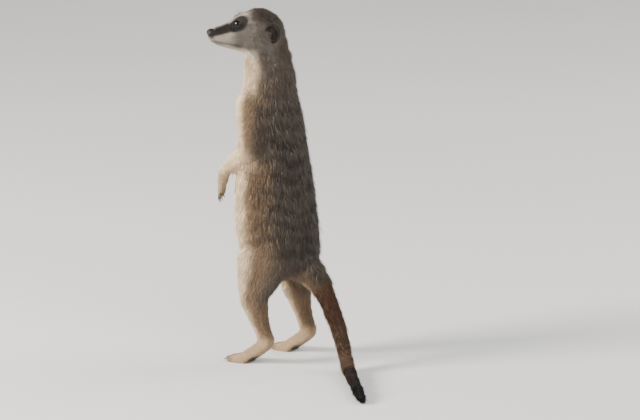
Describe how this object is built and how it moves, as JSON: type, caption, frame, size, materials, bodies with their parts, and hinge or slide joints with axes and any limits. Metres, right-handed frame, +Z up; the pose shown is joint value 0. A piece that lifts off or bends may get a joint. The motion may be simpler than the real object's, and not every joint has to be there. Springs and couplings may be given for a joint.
{
  "type": "life-size standing meerkat model",
  "caption": "Still, life-size meerkat in short grizzled fur, standing upright on its hind toes and tail with its forepaws hanging and its head turned to the left.",
  "frame": {"origin": "middle of the bottom of the model's box, on the floor it stands on", "axes": "+Z up; -Y the way the body faces; +X the animal's left"},
  "size_m": [0.1154, 0.1988, 0.3051],
  "materials": {
    "back_fur": "short grizzled grey-brown fur with darker bands",
    "pale_fur": "short cream to tan fur",
    "rufous_fur": "short reddish-brown fur",
    "dark_fur": "short black-brown fur",
    "eyes": "glossy dark brown",
    "nose": "bare dark skin, slightly moist",
    "claws": "dark horn, satin"
  },
  "bodies": {
    "root": {"belly": "back_fur", "chest": "back_fur", "ear_left": "dark_fur", "ear_right": "dark_fur", "eye_left": "eyes", "eye_right": "eyes", "forearm_left": "pale_fur", "forearm_right": "pale_fur", "forepaw_left": "pale_fur", "forepaw_right": "pale_fur", "head": "pale_fur", "hind_foot_left": "pale_fur", "hind_foot_right": "pale_fur", "hips": "back_fur", "lower_jaw": "pale_fur", "neck": "back_fur", "nose": "nose", "shank_left": "pale_fur", "shank_right": "pale_fur", "tail_lower": "rufous_fur", "tail_root": "rufous_fur", "tail_tip": "dark_fur", "tail_upper": "rufous_fur", "thigh_left": "pale_fur", "thigh_right": "pale_fur", "upper_arm_left": "pale_fur", "upper_arm_right": "pale_fur"}
  },
  "joints": []
}
